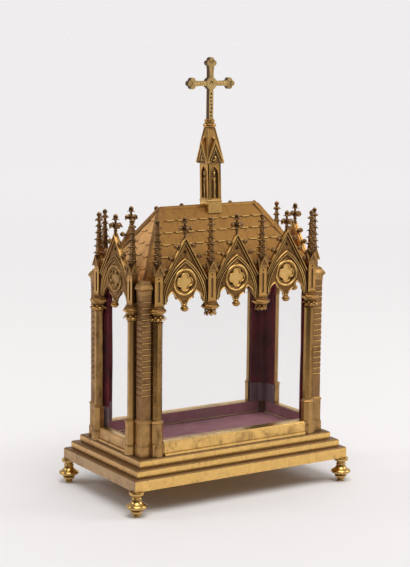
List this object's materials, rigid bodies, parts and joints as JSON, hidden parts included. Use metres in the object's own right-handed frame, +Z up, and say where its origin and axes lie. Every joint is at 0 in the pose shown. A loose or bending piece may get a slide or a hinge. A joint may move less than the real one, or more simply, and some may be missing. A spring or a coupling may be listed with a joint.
{
  "type": "reliquary",
  "caption": "Chapel-shaped gilt-brass reliquary: glazed chamber on a stepped footed base, gabled arcade, tiled hip roof with a turret and a cross.",
  "frame": {"origin": "centre of the footprint on the plane the four feet stand on", "axes": "+Z up, +X along the long side to the right seen from the front, front long side facing -Y"},
  "size_m": [0.3674, 0.2202, 0.6],
  "materials": {
    "gilt_brass": "gilt brass, worn, with brown patina in the recesses",
    "aged_brass": "cast brass with dark brown patina",
    "clear_glass": "clear polished pane",
    "crimson_velvet": "dark crimson velvet pasted on board",
    "faded_velvet": "faded mauve velvet pasted on board"
  },
  "bodies": {
    "root": {"base": "gilt_brass", "buttress_back_left": "gilt_brass", "buttress_back_right": "gilt_brass", "buttress_front_left": "gilt_brass", "buttress_front_right": "gilt_brass", "column_back_left": "gilt_brass", "column_back_right": "gilt_brass", "column_front_left": "gilt_brass", "column_front_right": "gilt_brass", "column_left_back": "gilt_brass", "column_left_front": "gilt_brass", "column_right_back": "gilt_brass", "column_right_front": "gilt_brass", "cross": "gilt_brass", "floor_lining": "faded_velvet", "foot_back_left": "aged_brass", "foot_back_right": "aged_brass", "foot_front_left": "aged_brass", "foot_front_right": "aged_brass", "gable_back_left": "gilt_brass", "gable_back_middle": "gilt_brass", "gable_back_right": "gilt_brass", "gable_front_left": "gilt_brass", "gable_front_middle": "gilt_brass", "gable_front_right": "gilt_brass", "gable_left": "gilt_brass", "gable_right": "gilt_brass", "glass_back": "clear_glass", "glass_front": "clear_glass", "glass_left": "clear_glass", "glass_right": "clear_glass", "hanging_pinnacle_back_left": "aged_brass", "hanging_pinnacle_back_right": "aged_brass", "hanging_pinnacle_front_left": "aged_brass", "hanging_pinnacle_front_right": "aged_brass", "lining_back_left": "crimson_velvet", "lining_back_right": "crimson_velvet", "lining_front_left": "crimson_velvet", "lining_front_right": "crimson_velvet", "pinnacle_back_left": "aged_brass", "pinnacle_back_right": "aged_brass", "pinnacle_front_left": "aged_brass", "pinnacle_front_right": "aged_brass", "pinnacle_left_back": "aged_brass", "pinnacle_left_front": "aged_brass", "pinnacle_right_back": "aged_brass", "pinnacle_right_front": "aged_brass", "roof": "gilt_brass", "sill_back": "gilt_brass", "sill_front": "gilt_brass", "sill_left": "gilt_brass", "sill_right": "gilt_brass", "turret": "gilt_brass"}
  },
  "joints": []
}
